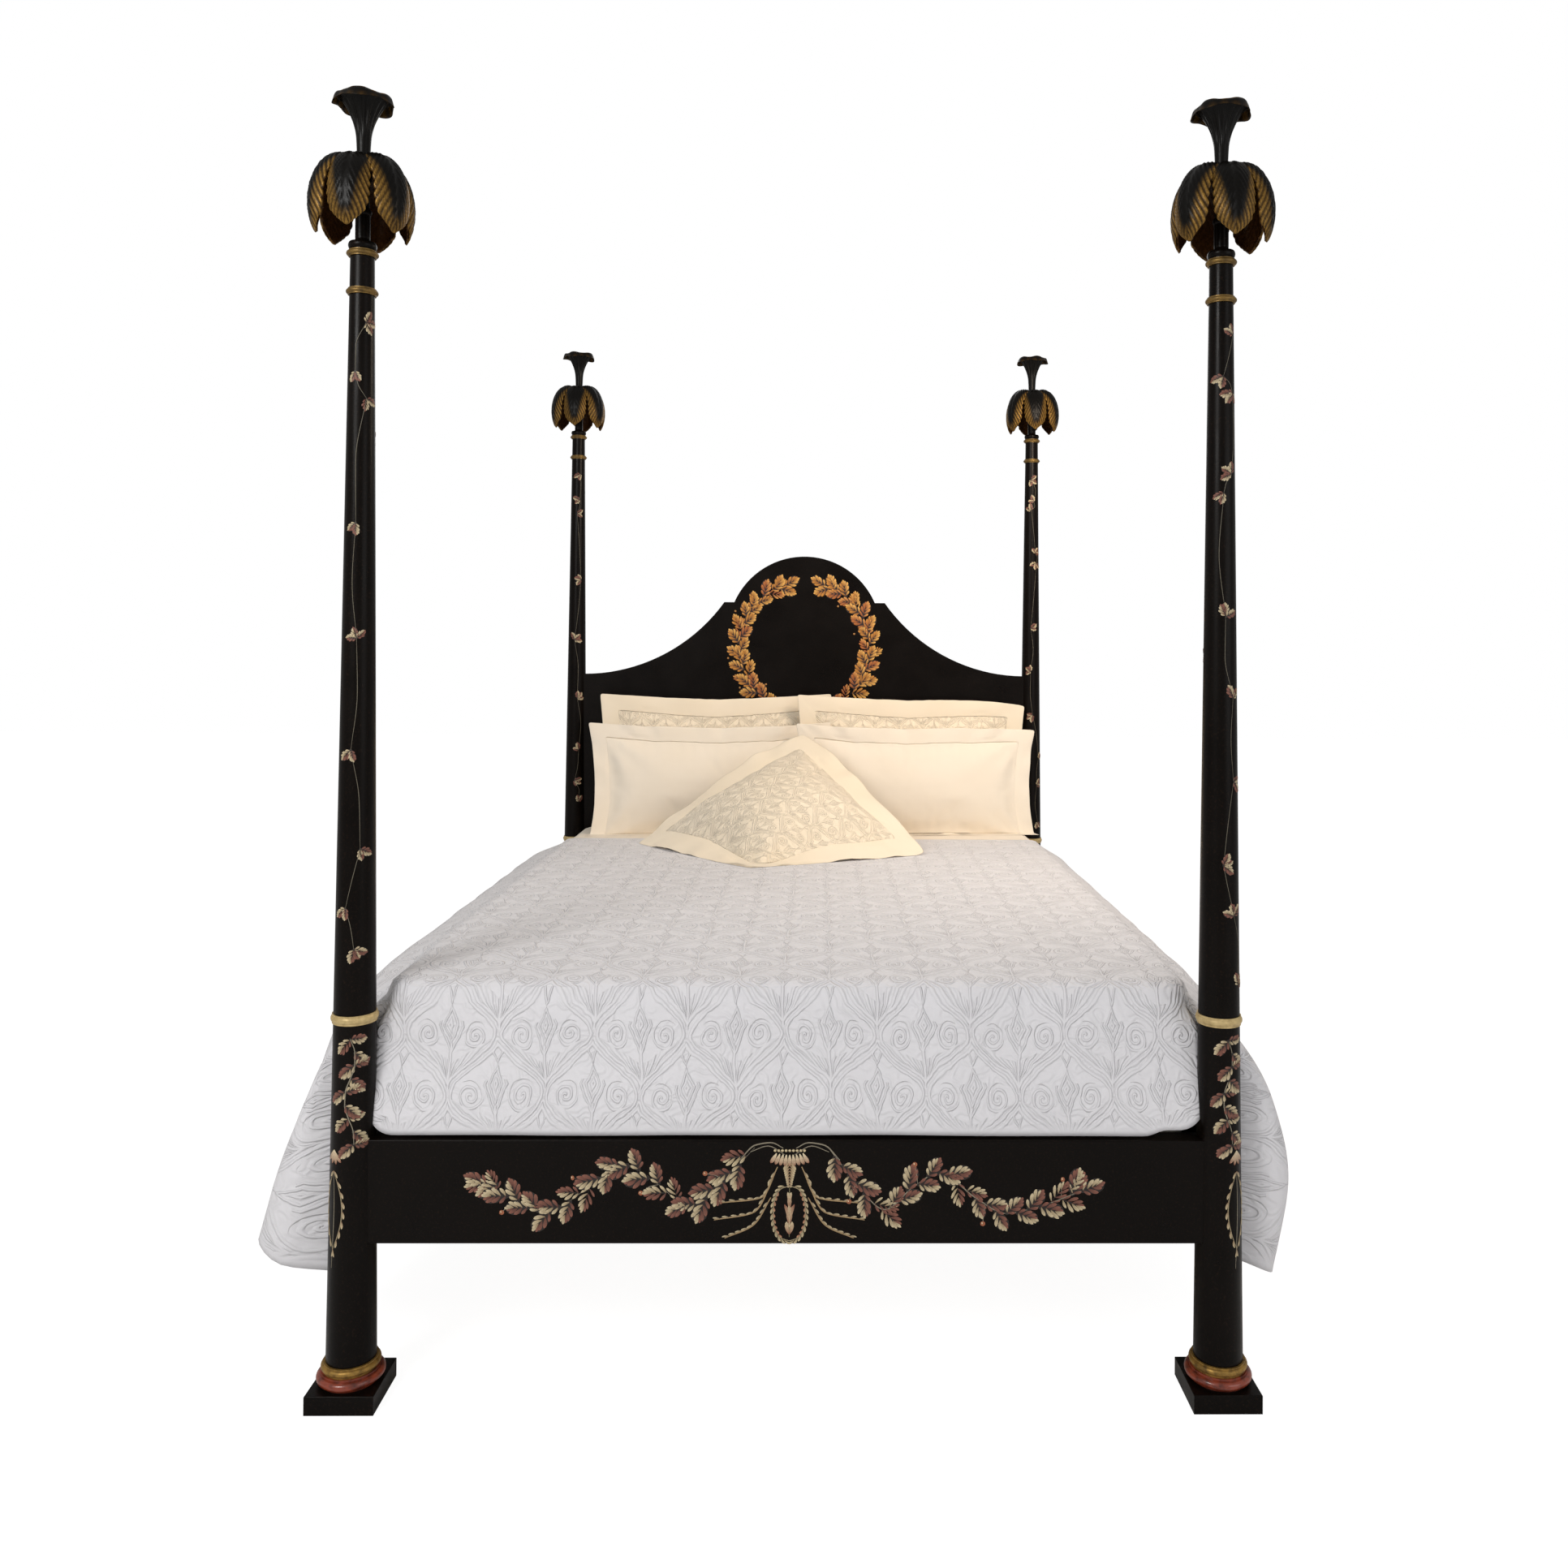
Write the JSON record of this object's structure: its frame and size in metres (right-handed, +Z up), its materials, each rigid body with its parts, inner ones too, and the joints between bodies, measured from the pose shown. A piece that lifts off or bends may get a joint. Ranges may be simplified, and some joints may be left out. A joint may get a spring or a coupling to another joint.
{
  "type": "four poster bed",
  "caption": "Four poster bed with tapering turned posts, palm finials, arched headboard, low footboard, hooked side rails, slats, mattress, coverlet and pillows.",
  "frame": {"origin": "on the floor, midway between the four posts", "axes": "+X to the right as seen from the foot, +Y towards the headboard, +Z up"},
  "size_m": [2.0246, 2.2788, 2.408],
  "materials": {
    "black_lacquer": "satin-gloss black lacquer with a warm brown undertone",
    "gilt": "aged gold leaf over turned wood",
    "pale_gilt": "paler worn gold leaf over turned wood",
    "red_lacquer": "red-brown lacquer",
    "plain_wood": "planed softwood, unfinished",
    "zinc_steel": "zinc-plated pressed steel",
    "ticking": "woven mattress ticking",
    "ivory_cotton": "plain ivory cotton",
    "ivory_matelasse": "ivory quilted cotton",
    "white_matelasse": "white quilted cotton damask"
  },
  "bodies": {
    "bed": {"plinth_foot_left": "black_lacquer", "post_foot_left": "black_lacquer", "base_torus_foot_left": "red_lacquer", "base_ring_foot_left": "gilt", "middle_ring_foot_left": "pale_gilt", "neck_rings_foot_left": "gilt", "plinth_foot_right": "black_lacquer", "post_foot_right": "black_lacquer", "base_torus_foot_right": "red_lacquer", "base_ring_foot_right": "gilt", "middle_ring_foot_right": "pale_gilt", "neck_rings_foot_right": "gilt", "plinth_head_left": "black_lacquer", "post_head_left": "black_lacquer", "base_torus_head_left": "red_lacquer", "base_ring_head_left": "gilt", "middle_ring_head_left": "pale_gilt", "neck_rings_head_left": "gilt", "plinth_head_right": "black_lacquer", "post_head_right": "black_lacquer", "base_torus_head_right": "red_lacquer", "base_ring_head_right": "gilt", "middle_ring_head_right": "pale_gilt", "neck_rings_head_right": "gilt", "headboard": "black_lacquer", "head_rail": "black_lacquer", "footboard": "black_lacquer", "side_rail_left": "black_lacquer", "side_rail_right": "black_lacquer", "slat_ledges": "plain_wood", "slats": "plain_wood", "center_beam": "plain_wood", "center_legs": "plain_wood", "rail_hooks": "zinc_steel", "slot_plates": "zinc_steel", "wood_screws": "zinc_steel", "box_spring": "ticking", "mattress": "ticking", "flat_sheet": "ivory_cotton", "coverlet_top": "white_matelasse", "coverlet_left_drop": "white_matelasse", "coverlet_right_drop": "white_matelasse"},
    "finial_foot_left": {"finial_core_foot_left": "black_lacquer", "finial_leaves_foot_left": "black_lacquer", "finial_flower_foot_left": "black_lacquer"},
    "finial_foot_right": {"finial_core_foot_right": "black_lacquer", "finial_leaves_foot_right": "black_lacquer", "finial_flower_foot_right": "black_lacquer"},
    "finial_head_left": {"finial_core_head_left": "black_lacquer", "finial_leaves_head_left": "black_lacquer", "finial_flower_head_left": "black_lacquer"},
    "finial_head_right": {"finial_core_head_right": "black_lacquer", "finial_leaves_head_right": "black_lacquer", "finial_flower_head_right": "black_lacquer"},
    "pillow_back_left_body": {"pillow_back_left": "ivory_matelasse"},
    "pillow_back_right_body": {"pillow_back_right": "ivory_matelasse"},
    "pillow_front_left_body": {"pillow_front_left": "ivory_cotton"},
    "pillow_front_right_body": {"pillow_front_right": "ivory_cotton"},
    "cushion_body": {"cushion": "ivory_matelasse"}
  },
  "joints": [
    {"name": "lift_finial_foot_left", "type": "slide", "parent": "bed", "child": "finial_foot_left", "axis": [0, 0, 1], "range_m": [0, 0.12]},
    {"name": "lift_finial_foot_right", "type": "slide", "parent": "bed", "child": "finial_foot_right", "axis": [0, 0, 1], "range_m": [0, 0.12]},
    {"name": "lift_finial_head_left", "type": "slide", "parent": "bed", "child": "finial_head_left", "axis": [0, 0, 1], "range_m": [0, 0.12]},
    {"name": "lift_finial_head_right", "type": "slide", "parent": "bed", "child": "finial_head_right", "axis": [0, 0, 1], "range_m": [0, 0.12]},
    {"name": "lift_pillow_back_left", "type": "slide", "parent": "bed", "child": "pillow_back_left_body", "axis": [0, 0, 1], "range_m": [0, 0.89]},
    {"name": "lift_pillow_back_right", "type": "slide", "parent": "bed", "child": "pillow_back_right_body", "axis": [0, 0, 1], "range_m": [0, 0.89]},
    {"name": "lift_pillow_front_left", "type": "slide", "parent": "bed", "child": "pillow_front_left_body", "axis": [0, 0.0523, 0.9986], "range_m": [0, 0.5]},
    {"name": "lift_pillow_front_right", "type": "slide", "parent": "bed", "child": "pillow_front_right_body", "axis": [0, 0.0523, 0.9986], "range_m": [0, 0.5]},
    {"name": "lift_cushion", "type": "slide", "parent": "bed", "child": "cushion_body", "axis": [0, 0, 1], "range_m": [0, 0.5]}
  ]
}
